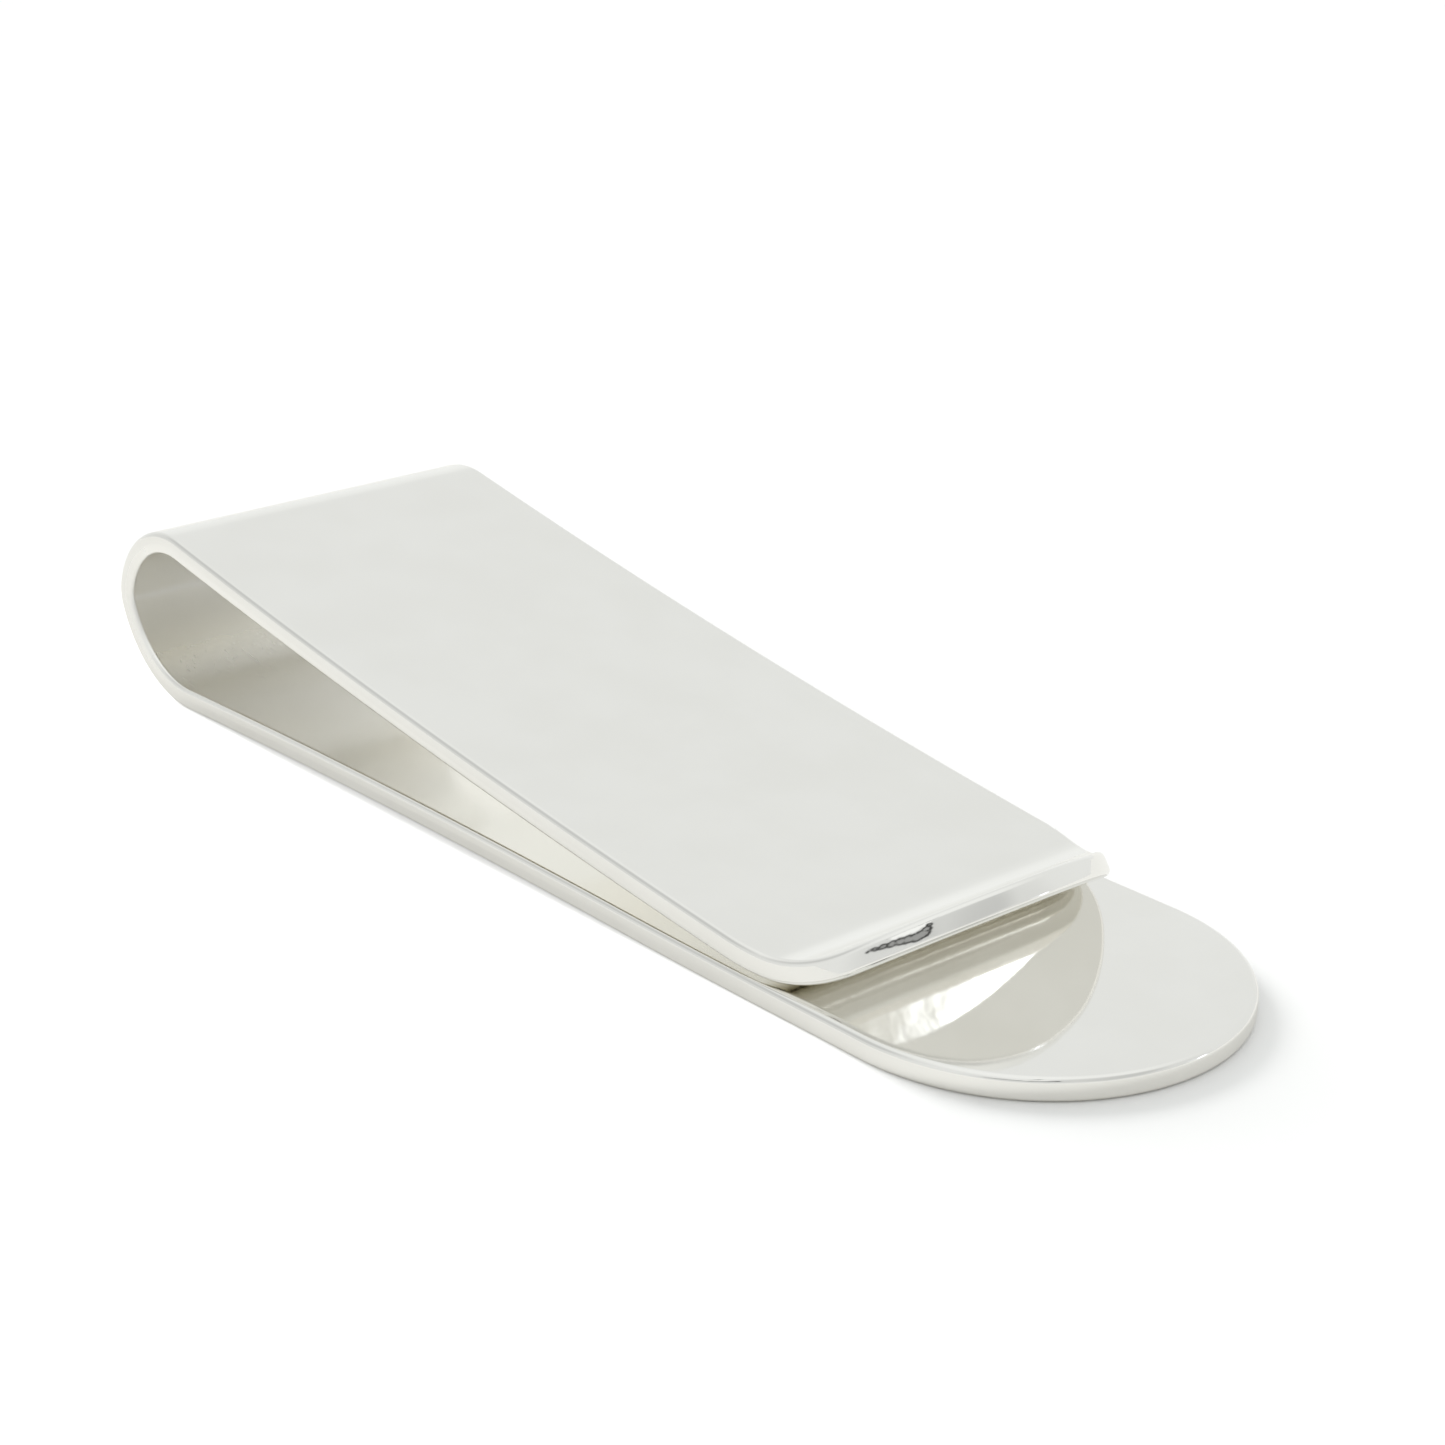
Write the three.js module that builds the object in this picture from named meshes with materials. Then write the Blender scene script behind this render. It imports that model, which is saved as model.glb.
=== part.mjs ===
// A spring money clip: one strip of silver sheet with two round ends, folded into a teardrop loop.
// The back plate lies flat. The front plate runs down to it and ends in a lip that is turned up.
// Frame: millimetres, +Z up, +X from the loop towards the round ends, +Y across the strip.
// The origin is the centre of the clip's outer box, on the surface that the clip lies on.
import * as THREE from "three";

// Driving dimensions of the sheet
const WIDTH = 17.5;
const THICKNESS = 1;
const CHAMFER = 0.2; // broken edges, all round the strip
const END_RADIUS = WIDTH / 2; // both ends are full half circles

// The bends, in order along the strip from the back plate's round end. A positive turn curls the
// strip over the back plate, and a negative one opens it. Angles are in degrees.
const FOOT = { length: 13.5, turn: 0 }; // the part of the back plate that lies flat
const ARCH_RISE = { length: 8.7, turn: 1.25 }; // the back plate arches a little off the table
const ARCH_FALL = { length: 31, turn: -2.8 };
const REAR_CURL = { radius: 5.08, turn: 71.45 };
const REAR_WALL = { radius: 1.5, turn: 20.1 }; // ends where the loop stands upright
const FRONT_WALL = { radius: 1.5, turn: 14.2 };
const FRONT_CURL = { radius: 3.86, turn: 86.75 };
const FRONT_REACH = { length: 39.7, turn: -4.7 };
const LIP_FLARE = { radius: 4.65, turn: -42.2 };
const LIP_TIP = { length: 3.6, turn: 0 };

// How finely curves are cut
const BEND_STEP = THREE.MathUtils.degToRad(4);
const LONG_STEP = 4;
const END_STEPS = 18; // in the quarter circle on each side of a round end
const CLOSEST = 0.12; // stations along the strip are no closer than this
const SLIVER_AREA = 5e-8; // mm², for the triangles with no area where points meet

const SILVER = { color: 0xdcdbd6, metalness: 1, roughness: 0.2 };

// One section of the bent strip: where it starts and ends along the strip, and how tightly it turns.
function laySection({ length, radius, turn }, start) {
  const angle = THREE.MathUtils.degToRad(turn);
  const span = length ?? radius * Math.abs(angle);
  const steps = Math.ceil(Math.max(span / LONG_STEP, Math.abs(angle) / BEND_STEP));
  return { ...start, span, curvature: angle / span, steps };
}

// The middle surface seen from the side: a point and the direction of travel, at a distance along
// one section. Heading 0 points along -X, and grows as the strip curls up and over.
function walk(section, along) {
  const { x, z, heading, curvature } = section;
  const turned = heading + curvature * along;
  if (curvature === 0) {
    return { x: x - along * Math.cos(heading), z: z + along * Math.sin(heading), heading };
  }
  return {
    x: x - (Math.sin(turned) - Math.sin(heading)) / curvature,
    z: z + (Math.cos(heading) - Math.cos(turned)) / curvature,
    heading: turned,
  };
}

function layStrip(bends) {
  const sections = [];
  let start = { at: 0, x: 0, z: THICKNESS / 2, heading: 0 };
  for (const bend of bends) {
    const section = laySection(bend, start);
    sections.push(section);
    start = { at: section.at + section.span, ...walk(section, section.span) };
  }
  return sections;
}

const backSections = [FOOT, ARCH_RISE, ARCH_FALL];
const rearSections = [REAR_CURL, REAR_WALL];
const curlSections = [FRONT_WALL, FRONT_CURL];
const frontSections = [FRONT_REACH];
const lipSections = [LIP_FLARE, LIP_TIP];
const strip = layStrip([
  ...backSections,
  ...rearSections,
  ...curlSections,
  ...frontSections,
  ...lipSections,
]);
const stripLength = strip.at(-1).at + strip.at(-1).span;

// A point of the flat strip (distance along it, distance across it, height above its middle
// surface, positive on the outside of the loop), carried to where the bent strip holds it.
function bent(along, across, height) {
  const section = strip.findLast((one) => along >= one.at) ?? strip[0];
  const { x, z, heading } = walk(section, along - section.at);
  return new THREE.Vector3(x - height * Math.sin(heading), across, z - height * Math.cos(heading));
}

// Half the strip's width at a distance along it, inside an outline that is inset all round.
function rung(station, inset) {
  const fromEnd = Math.min(station, stripLength - station);
  if (fromEnd >= END_RADIUS) return { along: station, half: WIDTH / 2 - inset };
  const angle = Math.acos(1 - fromEnd / END_RADIUS);
  const radius = END_RADIUS - inset;
  const along = END_RADIUS - radius * Math.cos(angle);
  return {
    along: station < END_RADIUS ? along : stripLength - along,
    half: radius * Math.sin(angle),
  };
}

// The stations between two places along the strip: every bend's own steps, and the round ends' steps.
function stationsBetween(from, to) {
  const stations = [from, to];
  for (const { at, span, steps } of strip) {
    for (let i = 0; i <= steps; i += 1) stations.push(at + (span * i) / steps);
  }
  for (let i = 0; i <= END_STEPS; i += 1) {
    const fromEnd = END_RADIUS * (1 - Math.cos((Math.PI / 2) * (i / END_STEPS)));
    stations.push(fromEnd, stripLength - fromEnd);
  }
  const inside = stations.filter((s) => s > from + CLOSEST && s < to - CLOSEST);
  inside.sort((a, b) => a - b);
  const spaced = inside.filter((s, i) => i === 0 || s - inside[i - 1] > CLOSEST);
  return [from, ...spaced, to];
}

// The chamfered cross-section, as corners in order round the strip: which side, how far inset,
// and the height from the middle surface.
const FACE = THICKNESS / 2;
const CORNERS = [
  { side: -1, inset: CHAMFER, height: FACE },
  { side: 1, inset: CHAMFER, height: FACE },
  { side: 1, inset: 0, height: FACE - CHAMFER },
  { side: 1, inset: 0, height: CHAMFER - FACE },
  { side: 1, inset: CHAMFER, height: -FACE },
  { side: -1, inset: CHAMFER, height: -FACE },
  { side: -1, inset: 0, height: CHAMFER - FACE },
  { side: -1, inset: 0, height: FACE - CHAMFER },
];

// One zone of the strip as a closed solid: a ring of corners at each station, skinned, with a flat
// cap where the zone meets the next one. At a round end the two sides of the last ring meet.
function zoneGeometry(from, to) {
  const rings = stationsBetween(from, to).map((station) =>
    CORNERS.map(({ side, inset, height }) => {
      const { along, half } = rung(station, inset);
      return bent(along, side * half, height);
    }),
  );
  const triangles = [];
  const addTriangle = (a, b, c) => {
    if (new THREE.Triangle(a, b, c).getArea() > SLIVER_AREA) triangles.push(a, b, c);
  };
  const count = CORNERS.length;
  for (let i = 1; i < rings.length; i += 1) {
    for (let k = 0; k < count; k += 1) {
      const next = (k + 1) % count;
      addTriangle(rings[i - 1][k], rings[i][next], rings[i - 1][next]);
      addTriangle(rings[i - 1][k], rings[i][k], rings[i][next]);
    }
  }
  const first = rings[0];
  const last = rings.at(-1);
  for (let k = 1; k < count - 1; k += 1) {
    addTriangle(first[0], first[k], first[k + 1]);
    addTriangle(last[0], last[k + 1], last[k]);
  }
  const geometry = new THREE.BufferGeometry().setFromPoints(triangles);
  geometry.computeVertexNormals();
  return geometry;
}

const clip = new THREE.Group();
const zones = [
  ["back_plate", backSections],
  ["rear_bend", rearSections],
  ["front_bend", curlSections],
  ["front_plate", frontSections],
  ["thumb_lip", lipSections],
];
let firstSection = 0;
for (const [name, bends] of zones) {
  const sections = strip.slice(firstSection, firstSection + bends.length);
  const end = sections.at(-1).at + sections.at(-1).span;
  const geometry = zoneGeometry(sections[0].at, end);
  const zone = new THREE.Mesh(geometry, new THREE.MeshStandardMaterial(SILVER));
  zone.name = name;
  clip.add(zone);
  firstSection += bends.length;
}

// The strip was laid from the round end at X = 0, so its zones are moved to put its box on the origin.
const box = new THREE.Box3().setFromObject(clip);
const middle = box.getCenter(new THREE.Vector3());
for (const zone of clip.children) zone.position.set(-middle.x, 0, -box.min.z);

export default clip;
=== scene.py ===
"""The looks of a silver money clip: one strip of polished sheet, bent round in a loop."""
import math

import bpy
import numpy as np
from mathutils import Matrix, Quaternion, Vector


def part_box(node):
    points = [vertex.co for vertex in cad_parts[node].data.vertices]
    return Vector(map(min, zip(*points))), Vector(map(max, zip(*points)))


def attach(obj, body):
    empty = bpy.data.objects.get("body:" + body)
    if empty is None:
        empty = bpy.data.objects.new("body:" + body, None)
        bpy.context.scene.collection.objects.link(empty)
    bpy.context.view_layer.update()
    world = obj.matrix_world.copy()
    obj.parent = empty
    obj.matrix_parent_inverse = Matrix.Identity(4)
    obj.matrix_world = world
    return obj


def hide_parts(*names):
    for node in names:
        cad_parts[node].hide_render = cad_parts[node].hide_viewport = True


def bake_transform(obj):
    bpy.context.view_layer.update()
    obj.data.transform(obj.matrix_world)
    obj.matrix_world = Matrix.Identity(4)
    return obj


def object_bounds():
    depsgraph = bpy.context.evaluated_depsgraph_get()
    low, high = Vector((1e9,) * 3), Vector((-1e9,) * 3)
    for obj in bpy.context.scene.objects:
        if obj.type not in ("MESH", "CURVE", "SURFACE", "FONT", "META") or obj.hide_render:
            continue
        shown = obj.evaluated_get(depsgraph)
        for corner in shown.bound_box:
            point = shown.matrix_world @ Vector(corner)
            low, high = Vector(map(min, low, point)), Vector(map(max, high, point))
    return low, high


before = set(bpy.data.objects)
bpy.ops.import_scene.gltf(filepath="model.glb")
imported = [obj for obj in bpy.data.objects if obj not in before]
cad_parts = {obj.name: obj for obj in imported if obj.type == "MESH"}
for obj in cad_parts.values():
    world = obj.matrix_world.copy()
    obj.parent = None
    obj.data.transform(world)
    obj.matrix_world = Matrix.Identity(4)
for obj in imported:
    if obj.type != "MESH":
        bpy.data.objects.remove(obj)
CAD_LOW, CAD_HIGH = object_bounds()

MM = 0.001

# ---------------------------------------------------------------- the strip's dimensions

# The sheet, as in the CAD model
WIDTH = CAD_HIGH.y - CAD_LOW.y
THICKNESS = 1.0 * MM
END_RADIUS = WIDTH / 2

# The section of its edges: a shallow crown, and a fillet from it into each face
CROWN_RADIUS = 4.0 * MM
FILLET_RADIUS = 0.25 * MM

# The bends of the CAD model, in order from the back plate's round end: the CAD node that each
# belongs to, its length or its radius in mm, and how far it turns in degrees.
BENDS = [
    ("back_plate", "length", 13.5, 0),
    ("back_plate", "length", 8.7, 1.25),
    ("back_plate", "length", 31, -2.8),
    ("rear_bend", "radius", 5.08, 71.45),
    ("rear_bend", "radius", 1.5, 20.1),
    ("front_bend", "radius", 1.5, 14.2),
    ("front_bend", "radius", 3.86, 86.75),
    ("front_plate", "length", 39.7, -4.7),
    ("thumb_lip", "radius", 4.65, -42.2),
    ("thumb_lip", "length", 3.6, 0),
]
# The loop's two halves, which flex as the clip opens. Their pieces are kept where they stand and are
# not attached to either plate
FLEXING = ("rear_bend", "front_bend")

# How finely the surface is made
BEND_STEP = math.radians(1.5)
LONG_STEP = 1.0 * MM
END_STEPS = 60
FILLET_STEPS = 6
CROWN_STEPS = 6
FACE_STEPS = 10

# The least distance between two stations, along the strip and near the tip of a round end
CLOSEST = 0.12 * MM
CLOSEST_AT_TIP = 0.0015 * MM
TIP = END_RADIUS / 4
# How near two points are to count as one, and two lengths to count as equal
SAME_POINT = 1e-8
SAME_LENGTH = 1e-9

# ---------------------------------------------------------------- the silver's numbers

LOOP_X = CAD_LOW.x
CREASE_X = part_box("thumb_lip")[0].x

# The share of red, green and blue that it reflects. The last one is painted light: the face that
# looks into the loop is made brighter and warmer than the rest of the silver, to lift the shade
# inside the loop
SILVER_CLEAR = (0.9, 0.892, 0.864, 1)
SILVER_CLOUDED = (0.92, 0.913, 0.888, 1)
SILVER_PAINTED_LIGHTER_IN_LOOP = (0.96, 0.952, 0.922, 1)

# Values that change from one place to another: the first place, the last one, and the value at each.
# The roughness falls along the strip, and more is added on the face that looks into the loop.
ROUGHNESS = (LOOP_X + 9.35 * MM, LOOP_X + 31.35 * MM, 0.11, 0.045)
ADDED_IN_LOOP = (LOOP_X + 3.35 * MM, LOOP_X + 23.35 * MM, 0.14, 0)
ADDED_AT_LOOP_END = (LOOP_X + 0.95 * MM, LOOP_X + 2.95 * MM, 0.2, 0)
ADDED_AT_CREASE = (CREASE_X - 5.8 * MM, CREASE_X - 1.8 * MM, 0, 0.06)
PAST_CREASE = (CREASE_X + 2.7 * MM, CREASE_X + 4.7 * MM, 1, 0)
ABOVE_BACK_PLATE = (THICKNESS + 0.03 * MM, THICKNESS + 0.08 * MM, 0, 1)
# Where the painted light on the face inside the loop is full, and where it has faded out
IN_LOOP = (LOOP_X + 24.35 * MM, LOOP_X + 43.35 * MM, 1, 0)

# Noise: lumps to the metre, how it is stretched, how far it is turned in degrees, and its detail
CLOUDS = (260, (1, 1, 1), 0, 4.0)
HAIRLINES = (9000, (0.03, 1, 1), 8, 3.0)
CROSSING_HAIRLINES = (7000, (0.04, 1, 1), -62, 3.0)
WAVES = (240, (1, 0.7, 1), 20, 1.0)
RIPPLES = (900, (0.6, 1, 1), 35, 2.0)

# Which noise counts as cloud or as hairline, and how much roughness each adds
CLOUDED = (0.3, 0.7, 0, 1)
DULLED = (0.35, 0.7, 0, 0.02)
SCRATCHED = (0.6, 0.8, 0, 1)
CROSS_SCRATCHED = (0.62, 0.8, 0, 1)
SCRATCH_ROUGHNESS = 0.05

# How high each kind of unevenness is, in metres
WAVE_HEIGHT = 9e-6
RIPPLE_HEIGHT = 2.2e-6
SCRATCH_HEIGHT = 0.12e-6

# ---------------------------------------------------------------- the setting's numbers

FLOOR_SIZE = 4
FLOOR_ROUGHNESS = 0.35
FLOOR_SEEN = (0.98, 0.98, 0.98, 1)
FLOOR_IN_METAL = (0.88, 0.87, 0.845, 1)

# On the camera's side of the clip the floor glows faintly, so that it is seen without a shadow:
# the glow's colour and, along each axis, where there is none of it and where it is full
GLOW = (0.5, 0.5, 0.5, 1)
GLOW_NONE_AND_FULL = {
    "X": (CAD_HIGH.x - 3.35 * MM, CAD_HIGH.x - 13.35 * MM),
    "Y": (0, CAD_LOW.y + 0.75 * MM),
}

# The soft light: where it stands and how wide it is, in degrees, and its strength
KEY_AZIMUTH = 178
KEY_ELEVATION = 25
KEY_SPREAD = 34
KEY_STRENGTH = 2.1

# The tent's even brightness, and its parts: azimuth, elevation, where the part is full and
# where it has faded out (degrees from its middle), and how much brightness it adds.
TENT_COLOUR = (0.985, 1.0, 0.985)
TENT_BRIGHTNESS = 0.84
TENT_PARTS = [
    (0, 90, 5, 50, 0.1),
    (128, 1, 6, 28, 0.06),
    (146, 9, 5, 17, 0.06),
    (-142, 32, 10, 45, -0.1),
    (-140, 40, 6, 22, -0.12),
    (20, 20, 10, 40, -0.08),
    (-5, 37, 18, 34, -0.14),
    (-49, 20, 8, 30, -0.1),
]
# The tent's opening, as round spots: azimuth, elevation and radius. The camera's stand and the
# person behind it are dark with a grey middle. Next to them are a white card and its dark edge.
CARD = [(-51, 33, 2.5), (-46, 36, 4), (-41, 39, 5), (-36, 43, 6)]
CARD_EDGE = [(-56, 32.5, 0.9), (-52, 36, 0.9), (-47, 40, 1), (-43, 45, 1.2), (-40, 49, 1.8)]
CARD_EDGE += [(-37, 54, 2), (-35, 59, 2), (-33, 64, 1.5)]
PERSON = [(-64, 22.3, 1.6), (-60.5, 24, 2.6), (-56, 25.6, 3.3), (-51, 27, 3.8), (-46, 28.2, 4.2)]
PERSON += [(-41, 28.6, 4.6), (-36.5, 29.2, 5), (-33, 31, 5), (-31, 35, 3.4), (-29.5, 38.5, 2.4)]
# Each layer of it: the spots, how much smaller than given they are, and the layer's brightness
OPENING_LAYERS = [(CARD, 0, 1.0), (CARD_EDGE, 0, 0.15), (PERSON, 0, 0.06), (PERSON, 1.7, 0.36)]
# How wide the soft edge inside each spot's radius is, in degrees
SPOT_EDGE = 0.8

# A window near the horizon, with daylight round it, as parts like the tent's
WINDOW_COLOUR = (0.9, 0.96, 1.1)
WINDOW_PARTS = [
    (41.7, 0.3, 1.2, 2.0, 2.5),
    (43.0, 0.9, 1.6, 2.4, 2.5),
    (45.1, 4.2, 2.0, 2.9, 2),
    (39.6, 9, 3, 6, 0.15),
]
# The tent's cloth ripples the opening and the window: how finely, and how far
CLOTH_SCALE = 14
CLOTH_STRENGTH = (0.05, 0.05, 0.05)

# The camera: its lens and sensor in mm, its reach in metres, its turn in degrees, and its place
CAMERA_LENS = 77.59
SENSOR_WIDTH = 36
CAMERA_NEAR_AND_FAR = 0.01, 10
CAMERA_AZIMUTH = -42.075
CAMERA_ELEVATION = 21.717
CAMERA_ROLL = 1.185
CAMERA_PLACE = Vector((91.5, -79.7, 53.0)) * MM

# Enough reflections for light to find its way out of the loop
BOUNCES = 32


# ---------------------------------------------------------------- the strip's middle surface

def walk(section, along):
    """x, z and heading on the middle surface, at a distance along one section."""
    turned = section["heading"] + section["curvature"] * along
    if section["curvature"] == 0:
        x = section["x"] - along * math.cos(turned)
        z = section["z"] + along * math.sin(turned)
    else:
        x = section["x"] - (math.sin(turned) - math.sin(section["heading"])) / section["curvature"]
        z = section["z"] + (math.cos(section["heading"]) - math.cos(turned)) / section["curvature"]
    return x, z, turned


def lay_strip():
    """The bends as sections that follow one another, laid from the back plate's round end."""
    sections = []
    at, x, z, heading = 0.0, 0.0, THICKNESS / 2, 0.0
    for node, given, size, turn in BENDS:
        angle = math.radians(turn)
        span = size * MM if given == "length" else size * MM * abs(angle)
        section = {"node": node, "at": at, "span": span, "x": x, "z": z}
        section |= {"heading": heading, "curvature": angle / span}
        section["steps"] = math.ceil(max(span / LONG_STEP, abs(angle) / BEND_STEP))
        sections.append(section)
        x, z, heading = walk(section, span)
        at += span
    return sections


STRIP = lay_strip()
STRIP_LENGTH = STRIP[-1]["at"] + STRIP[-1]["span"]


def place_at(along):
    """x, z and heading on the middle surface, at a distance along the whole strip."""
    reached = [section for section in STRIP if along >= section["at"] - SAME_LENGTH]
    section = reached[-1] if reached else STRIP[0]
    return walk(section, along - section["at"])


def bent(along, across, height):
    """A point of the flat strip, carried to where the bent strip holds it.
    height is from the middle surface, and is positive on the outside of the loop."""
    x, z, heading = place_at(along)
    return (x - height * math.sin(heading), across, z - height * math.cos(heading))


def directions_at(along):
    """The directions along the strip and outwards through it, at a distance along it."""
    heading = place_at(along)[2]
    forwards = Vector((-math.cos(heading), 0, math.sin(heading)))
    return forwards, Vector((-math.sin(heading), 0, -math.cos(heading)))


# ---------------------------------------------------------------- its outline and section

def from_tip(station):
    return min(station, STRIP_LENGTH - station)


def swing_at(station):
    """How far round the nearer end the outline is: 0 at its tip, a right angle past the end."""
    return math.acos(min(1, max(0, 1 - from_tip(station) / END_RADIUS)))


def rung(station, inset):
    """How far along the strip, and how far from its middle line, the outline is at a station,
    for an outline inset all round."""
    if from_tip(station) >= END_RADIUS:
        return station, END_RADIUS - inset
    swing = swing_at(station)
    along = END_RADIUS - (END_RADIUS - inset) * math.cos(swing)
    if station > STRIP_LENGTH / 2:
        along = STRIP_LENGTH - along
    return along, (END_RADIUS - inset) * math.sin(swing)


def all_stations():
    """Every station along the strip, and the ones where one CAD node ends and the next begins."""
    breaks = [0.0]
    stations = []
    for before, section in zip([None] + STRIP, STRIP):
        if before and before["node"] != section["node"]:
            breaks.append(section["at"])
        steps = section["steps"]
        stations += [section["at"] + section["span"] * i / steps for i in range(steps + 1)]
    breaks.append(STRIP_LENGTH)
    for i in range(END_STEPS + 1):
        distance = END_RADIUS * (1 - math.cos(math.pi / 2 * i / END_STEPS))
        stations += [distance, STRIP_LENGTH - distance]
    kept = list(breaks)
    for station in sorted(stations):
        closest = CLOSEST if from_tip(station) > TIP else CLOSEST_AT_TIP
        if all(abs(station - other) > closest for other in kept):
            kept.append(station)
    return sorted(kept), breaks


def edge_section(half, fillet_inset, crown_lean):
    """The section of one edge, from the outer face to the inner one: how far each point is inset,
    its height, and how far its normal leans outwards and along the height."""
    fillet, crown = [], []
    for i in range(1, FILLET_STEPS + 1):
        lean = (math.pi / 2 - crown_lean) * i / FILLET_STEPS
        inset = fillet_inset - FILLET_RADIUS * math.sin(lean)
        height = half - FILLET_RADIUS + FILLET_RADIUS * math.cos(lean)
        fillet.append((inset, height, math.sin(lean), math.cos(lean)))
    for i in range(1, CROWN_STEPS):
        lean = crown_lean * (1 - 2 * i / CROWN_STEPS)
        inset = CROWN_RADIUS * (1 - math.cos(lean))
        crown.append((inset, CROWN_RADIUS * math.sin(lean), math.cos(lean), math.sin(lean)))
    lower = [(inset, -height, outwards, -upwards) for inset, height, outwards, upwards in fillet]
    return fillet + crown + lower[::-1]


def section_ring():
    """The whole section as points in order round the strip: the share of the half width, how far
    inset, the height, and how far its normal leans outwards and along the height."""
    half = THICKNESS / 2
    crown_lean = math.asin((half - FILLET_RADIUS) / (CROWN_RADIUS - FILLET_RADIUS))
    fillet_inset = CROWN_RADIUS - (CROWN_RADIUS - FILLET_RADIUS) * math.cos(crown_lean)
    ring = []
    for face in (1, -1):
        for i in range(FACE_STEPS + 1):
            share = -1 + 2 * i / FACE_STEPS
            ring.append((face * share, fillet_inset, face * half, 0, face))
        for inset, height, outwards, upwards in edge_section(half, fillet_inset, crown_lean):
            ring.append((face, inset, face * height, outwards, face * upwards))
    return ring[::-1]


RING = section_ring()
STATIONS, BREAKS = all_stations()


def ring_points(station):
    """The points of the section at a station, and the surface's normal at each."""
    swing = swing_at(station)
    ending = -1 if station < STRIP_LENGTH / 2 else 1
    points, normals = [], []
    for share, inset, height, outwards, upwards in RING:
        along, half = rung(station, inset)
        points.append(bent(along, share * half, height))
        forwards, through = directions_at(along)
        side = math.copysign(1, share)
        outer = Vector((0, side * math.sin(swing), 0)) + forwards * (ending * math.cos(swing))
        normals.append(outer * outwards + through * upwards)
    return points, normals


laid = [ring_points(station) for station in STATIONS]
points_laid = np.array([points for points, _ in laid])
low, high = points_laid.reshape(-1, 3).min(0), points_laid.reshape(-1, 3).max(0)
to_frame = [(CAD_LOW.x + CAD_HIGH.x - low[0] - high[0]) / 2, 0, CAD_LOW.z - low[2]]
ALL_POINTS = (points_laid + to_frame).tolist()
ALL_NORMALS = [normals for _, normals in laid]


# ---------------------------------------------------------------- its pieces

def skin(rings, close_first, close_last):
    """Vertices and faces of a strip skinned over its rings, with points that meet made one.
    Also the faces that close its ends, and which vertex stands at each point of each ring."""
    vertices, lookup, table = [], {}, []
    for points in rings:
        row = []
        for point in points:
            key = tuple(round(value / SAME_POINT) for value in point)
            if key not in lookup:
                lookup[key] = len(vertices)
                vertices.append(point)
            row.append(lookup[key])
        table.append(row)
    faces = []
    for one, two in zip(table, table[1:]):
        for k in range(len(RING)):
            following = (k + 1) % len(RING)
            corners = [one[k], one[following], two[following], two[k]]
            loop = [corner for i, corner in enumerate(corners) if corner != corners[i - 1]]
            if len(loop) >= 3:
                faces.append(loop)
    caps = []
    if close_first:
        caps.append(table[0][::-1])
    if close_last:
        caps.append(table[-1])
    return vertices, faces, caps, table


def strip_piece(name, first, last):
    """One zone of the strip as a closed mesh whose surface runs on smoothly into its neighbours.
    Its attribute "inside" is 1 on the half that looks into the loop, and 0 on the outer half."""
    rings = ALL_POINTS[first:last + 1]
    vertices, faces, caps, table = skin(rings, first > 0, last < len(STATIONS) - 1)
    mesh = bpy.data.meshes.new(name)
    mesh.from_pydata(vertices, [], faces + caps)
    mesh.update()
    mesh.polygons.foreach_set("use_smooth", [True] * len(faces) + [False] * len(caps))
    normal_of = {}
    inside = [0.0] * len(vertices)
    for row, normals in zip(table, ALL_NORMALS[first:last + 1]):
        normal_of |= dict(zip(row, normals))
        for vertex, (_, _, height, _, _) in zip(row, RING):
            inside[vertex] = 1.0 if height < 0 else 0.0
    corner_normals = []
    for polygon in mesh.polygons:
        for vertex in polygon.vertices:
            corner_normals.append(normal_of[vertex] if polygon.use_smooth else polygon.normal)
    mesh.normals_split_custom_set(corner_normals)
    mesh.attributes.new("inside", "FLOAT", "POINT").data.foreach_set("value", inside)
    piece = bpy.data.objects.new(name, mesh)
    bpy.context.scene.collection.objects.link(piece)
    return piece


# ---------------------------------------------------------------- silver

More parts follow.
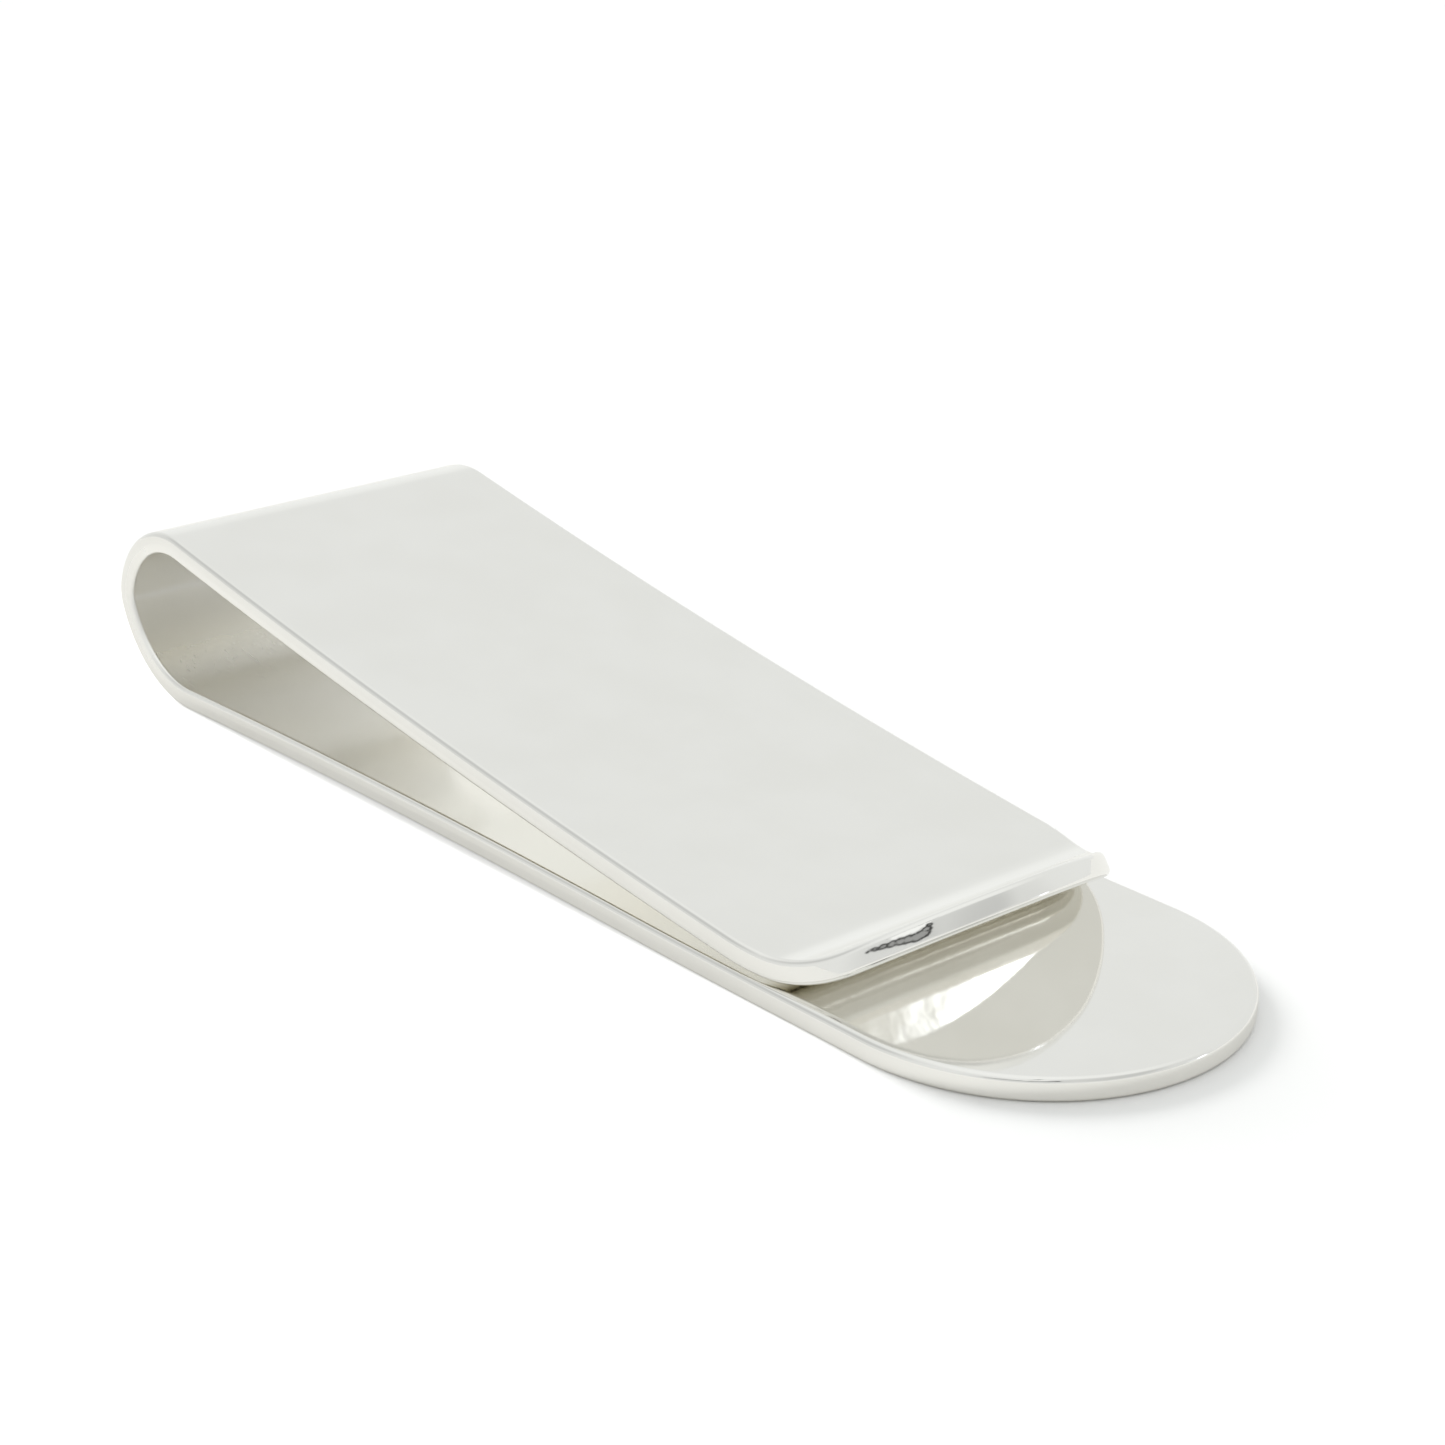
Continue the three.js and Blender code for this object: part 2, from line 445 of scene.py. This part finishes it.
def polished_silver():
    """Hand-polished silver: a near mirror at the open end, softer inside the loop where the
    polishing mop doesn't reach, with faint waves, hairlines and a little clouding."""
    material = bpy.data.materials.new("polished_silver")
    material.use_nodes = True
    nodes, links = material.node_tree.nodes, material.node_tree.links
    shader = nodes["Principled BSDF"]
    shader.inputs["Metallic"].default_value = 1.0
    place = nodes.new("ShaderNodeTexCoord").outputs["Object"]

    def noise(scale, stretch, turned, detail):
        mapping = nodes.new("ShaderNodeMapping")
        mapping.inputs["Rotation"].default_value = (0, 0, math.radians(turned))
        mapping.inputs["Scale"].default_value = [scale * share for share in stretch]
        links.new(place, mapping.inputs["Vector"])
        texture = nodes.new("ShaderNodeTexNoise")
        texture.inputs["Scale"].default_value = 1.0
        texture.inputs["Detail"].default_value = detail
        links.new(mapping.outputs["Vector"], texture.inputs["Vector"])
        return texture.outputs["Fac"]

    def ranged(value, low, high, to_low, to_high):
        """A value that goes smoothly from to_low to to_high, as another goes from low to high."""
        fade = nodes.new("ShaderNodeMapRange")
        fade.interpolation_type = "SMOOTHSTEP"
        fade.inputs["From Min"].default_value = low
        fade.inputs["From Max"].default_value = high
        fade.inputs["To Min"].default_value = to_low
        fade.inputs["To Max"].default_value = to_high
        links.new(value, fade.inputs["Value"])
        return fade.outputs["Result"]

    def combined(operation, one, two):
        step = nodes.new("ShaderNodeMath")
        step.operation = operation
        links.new(one, step.inputs[0])
        links.new(two, step.inputs[1])
        return step.outputs["Value"]

    def mixed(factor, colour):
        """A mix towards a colour. The colour to start from is left to the caller."""
        mix = nodes.new("ShaderNodeMix")
        mix.data_type = "RGBA"
        mix.inputs["B"].default_value = colour
        links.new(factor, mix.inputs["Factor"])
        return mix

    def bumped(height, distance, before=None):
        bump = nodes.new("ShaderNodeBump")
        bump.inputs["Strength"].default_value = 1.0
        bump.inputs["Distance"].default_value = distance
        links.new(height, bump.inputs["Height"])
        if before:
            links.new(before, bump.inputs["Normal"])
        return bump.outputs["Normal"]

    axes = nodes.new("ShaderNodeSeparateXYZ")
    links.new(place, axes.inputs["Vector"])
    along, up = axes.outputs["X"], axes.outputs["Z"]
    attribute = nodes.new("ShaderNodeAttribute")
    attribute.attribute_name = "inside"
    inside = attribute.outputs["Fac"]

    clouds = noise(*CLOUDS)
    silver_colour = mixed(ranged(clouds, *CLOUDED), SILVER_CLOUDED)
    silver_colour.inputs["A"].default_value = SILVER_CLEAR
    # Painted light: the face that looks into the loop is painted brighter and warmer, to lift its
    # shade
    colour = mixed(combined("MULTIPLY", ranged(along, *IN_LOOP), inside), SILVER_PAINTED_LIGHTER_IN_LOOP)
    links.new(silver_colour.outputs["Result"], colour.inputs["A"])
    links.new(colour.outputs["Result"], shader.inputs["Base Color"])

    in_loop = combined("ADD", ranged(along, *ADDED_IN_LOOP), ranged(along, *ADDED_AT_LOOP_END))
    at_crease = combined("MULTIPLY", ranged(along, *ADDED_AT_CREASE), ranged(along, *PAST_CREASE))
    under_crease = combined("MULTIPLY", at_crease, ranged(up, *ABOVE_BACK_PLATE))
    unreached = combined("MULTIPLY", combined("ADD", in_loop, under_crease), inside)
    polish = combined("ADD", ranged(along, *ROUGHNESS), unreached)
    hairlines = ranged(noise(*HAIRLINES), *SCRATCHED)
    crossing = ranged(noise(*CROSSING_HAIRLINES), *CROSS_SCRATCHED)
    scratches = combined("ADD", hairlines, crossing)
    scuffed = nodes.new("ShaderNodeMath")
    scuffed.operation = "MULTIPLY_ADD"
    links.new(scratches, scuffed.inputs[0])
    scuffed.inputs[1].default_value = SCRATCH_ROUGHNESS
    links.new(combined("ADD", polish, ranged(clouds, *DULLED)), scuffed.inputs[2])
    links.new(scuffed.outputs["Value"], shader.inputs["Roughness"])

    waves = bumped(noise(*WAVES), WAVE_HEIGHT)
    ripples = bumped(noise(*RIPPLES), RIPPLE_HEIGHT, waves)
    links.new(bumped(scratches, SCRATCH_HEIGHT, ripples), shader.inputs["Normal"])
    return material


# ---------------------------------------------------------------- floor, light and camera

def make_floor():
    """A plain pale floor. The camera sees it whiter than the metal does, and with a faint glow on
    the camera's side of the clip."""
    bpy.ops.mesh.primitive_plane_add(size=FLOOR_SIZE, location=(0, 0, CAD_LOW.z))
    floor = bpy.context.object
    floor.name = "floor"
    material = bpy.data.materials.new("pale_floor")
    material.use_nodes = True
    nodes, links = material.node_tree.nodes, material.node_tree.links
    shader = nodes["Principled BSDF"]
    shader.inputs["Roughness"].default_value = FLOOR_ROUGHNESS
    seen = nodes.new("ShaderNodeLightPath").outputs["Is Camera Ray"]
    paint = nodes.new("ShaderNodeMix")
    paint.data_type = "RGBA"
    paint.inputs["A"].default_value = FLOOR_IN_METAL
    paint.inputs["B"].default_value = FLOOR_SEEN
    links.new(seen, paint.inputs["Factor"])
    links.new(paint.outputs["Result"], shader.inputs["Base Color"])
    place = nodes.new("ShaderNodeSeparateXYZ")
    links.new(nodes.new("ShaderNodeTexCoord").outputs["Object"], place.inputs["Vector"])
    glow = seen
    for axis, (none, full) in GLOW_NONE_AND_FULL.items():
        fade = nodes.new("ShaderNodeMapRange")
        fade.interpolation_type = "SMOOTHSTEP"
        fade.inputs["From Min"].default_value = none
        fade.inputs["From Max"].default_value = full
        links.new(place.outputs[axis], fade.inputs["Value"])
        product = nodes.new("ShaderNodeMath")
        product.operation = "MULTIPLY"
        links.new(glow, product.inputs[0])
        links.new(fade.outputs["Result"], product.inputs[1])
        glow = product.outputs["Value"]
    shader.inputs["Emission Color"].default_value = GLOW
    links.new(glow, shader.inputs["Emission Strength"])
    floor.data.materials.append(material)


def direction(azimuth, elevation):
    """The direction that lies at an azimuth, turned from +X towards +Y, and an elevation."""
    azimuth, elevation = math.radians(azimuth), math.radians(elevation)
    level = math.cos(elevation)
    return level * math.cos(azimuth), level * math.sin(azimuth), math.sin(elevation)


def facing(azimuth, elevation):
    """The turn of a lamp or a camera that stands at this azimuth and elevation and looks in."""
    return Vector(direction(azimuth, elevation)).to_track_quat("Z", "Y")


def make_key_light():
    """A broad soft light from beyond the loop, which lights the floor. The metal doesn't show it."""
    data = bpy.data.lights.new("key_light", "SUN")
    data.energy = KEY_STRENGTH
    data.angle = math.radians(KEY_SPREAD)
    light = bpy.data.objects.new("key_light", data)
    bpy.context.scene.collection.objects.link(light)
    light.rotation_mode = "QUATERNION"
    light.rotation_quaternion = facing(KEY_AZIMUTH, KEY_ELEVATION)
    light.visible_glossy = False


def make_world():
    """A white light tent: nearly even, with a few soft brighter and darker parts, an opening and a
    window. The camera itself sees plain white."""
    world = bpy.data.worlds.new("light_tent")
    bpy.context.scene.world = world
    world.use_nodes = True
    nodes, links = world.node_tree.nodes, world.node_tree.links
    looked = nodes.new("ShaderNodeTexCoord").outputs["Generated"]

    def calculated(kind, operation, *values):
        """A math node of this kind, fed with numbers, directions or other nodes' outputs."""
        node = nodes.new(kind)
        node.operation = operation
        for socket, value in zip(node.inputs, values):
            if isinstance(value, bpy.types.NodeSocket):
                links.new(value, socket)
            else:
                socket.default_value = value
        return node

    def number(operation, *values):
        return calculated("ShaderNodeMath", operation, *values).outputs["Value"]

    def vector(operation, *values):
        return calculated("ShaderNodeVectorMath", operation, *values).outputs["Vector"]

    def lobe(view, azimuth, elevation, inner, outer, amount=1.0):
        """An amount at one direction and near it, which fades out from inner to outer degrees."""
        middle = direction(azimuth, elevation)
        closeness = calculated("ShaderNodeVectorMath", "DOT_PRODUCT", view, middle).outputs["Value"]
        fade = nodes.new("ShaderNodeMapRange")
        fade.interpolation_type = "SMOOTHSTEP"
        fade.inputs["From Min"].default_value = math.cos(math.radians(outer))
        fade.inputs["From Max"].default_value = math.cos(math.radians(inner))
        fade.inputs["To Max"].default_value = amount
        links.new(closeness, fade.inputs["Value"])
        return fade.outputs["Result"]

    def summed(even, view, parts):
        """An even brightness with parts that each add to it or take from it."""
        total = even
        for part in parts:
            total = number("ADD", lobe(view, *part), total)
        return total

    def covered(light, view, spots, smaller, shade):
        """Light, with a shade in its place on every one of the spots, made smaller all round."""
        cover = 0.0
        for azimuth, elevation, radius in spots:
            outer = radius - smaller
            if outer > 0:
                spot = lobe(view, azimuth, elevation, max(outer - SPOT_EDGE, 0), outer)
                cover = number("MAXIMUM", spot, cover)
        mix = nodes.new("ShaderNodeMix")
        links.new(cover, mix.inputs["Factor"])
        links.new(light, mix.inputs["A"])
        mix.inputs["B"].default_value = shade
        return mix.outputs["Result"]

    cloth = nodes.new("ShaderNodeTexNoise")
    cloth.inputs["Scale"].default_value = CLOTH_SCALE
    links.new(looked, cloth.inputs["Vector"])
    centred = vector("SUBTRACT", cloth.outputs["Color"], (0.5, 0.5, 0.5))
    rippled = vector("NORMALIZE", vector("MULTIPLY_ADD", centred, CLOTH_STRENGTH, looked))

    tent = summed(TENT_BRIGHTNESS, looked, TENT_PARTS)
    for spots, smaller, shade in OPENING_LAYERS:
        tent = covered(tent, rippled, spots, smaller, shade)
    window = summed(0.0, rippled, WINDOW_PARTS)
    light = vector("MULTIPLY_ADD", window, WINDOW_COLOUR, vector("MULTIPLY", tent, TENT_COLOUR))
    shown = nodes.new("ShaderNodeMix")
    shown.data_type = "RGBA"
    shown.inputs["B"].default_value = (1, 1, 1, 1)
    links.new(nodes.new("ShaderNodeLightPath").outputs["Is Camera Ray"], shown.inputs["Factor"])
    links.new(light, shown.inputs["A"])
    links.new(shown.outputs["Result"], nodes["Background"].inputs["Color"])


def make_camera():
    data = bpy.data.cameras.new("camera")
    data.lens = CAMERA_LENS
    data.sensor_width = SENSOR_WIDTH
    data.clip_start, data.clip_end = CAMERA_NEAR_AND_FAR
    camera = bpy.data.objects.new("camera", data)
    bpy.context.scene.collection.objects.link(camera)
    camera.location = CAMERA_PLACE
    camera.rotation_mode = "QUATERNION"
    level = facing(CAMERA_AZIMUTH, CAMERA_ELEVATION)
    camera.rotation_quaternion = level @ Quaternion((0, 0, 1), math.radians(CAMERA_ROLL))
    bpy.context.scene.camera = camera


make_camera()
make_world()
make_key_light()
make_floor()
scene = bpy.context.scene
scene.view_settings.view_transform = "Standard"
scene.cycles.max_bounces = BOUNCES
scene.cycles.glossy_bounces = BOUNCES

silver = polished_silver()
nodes_in_order = list(dict.fromkeys(node for node, *_ in BENDS))
for node, start, end in zip(nodes_in_order, BREAKS, BREAKS[1:]):
    piece = strip_piece(node + "_sheet", STATIONS.index(start), STATIONS.index(end))
    piece.data.materials.append(silver)
    if node in FLEXING:
        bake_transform(piece)
    else:
        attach(piece, "back" if node == "back_plate" else "front")
    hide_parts(node)
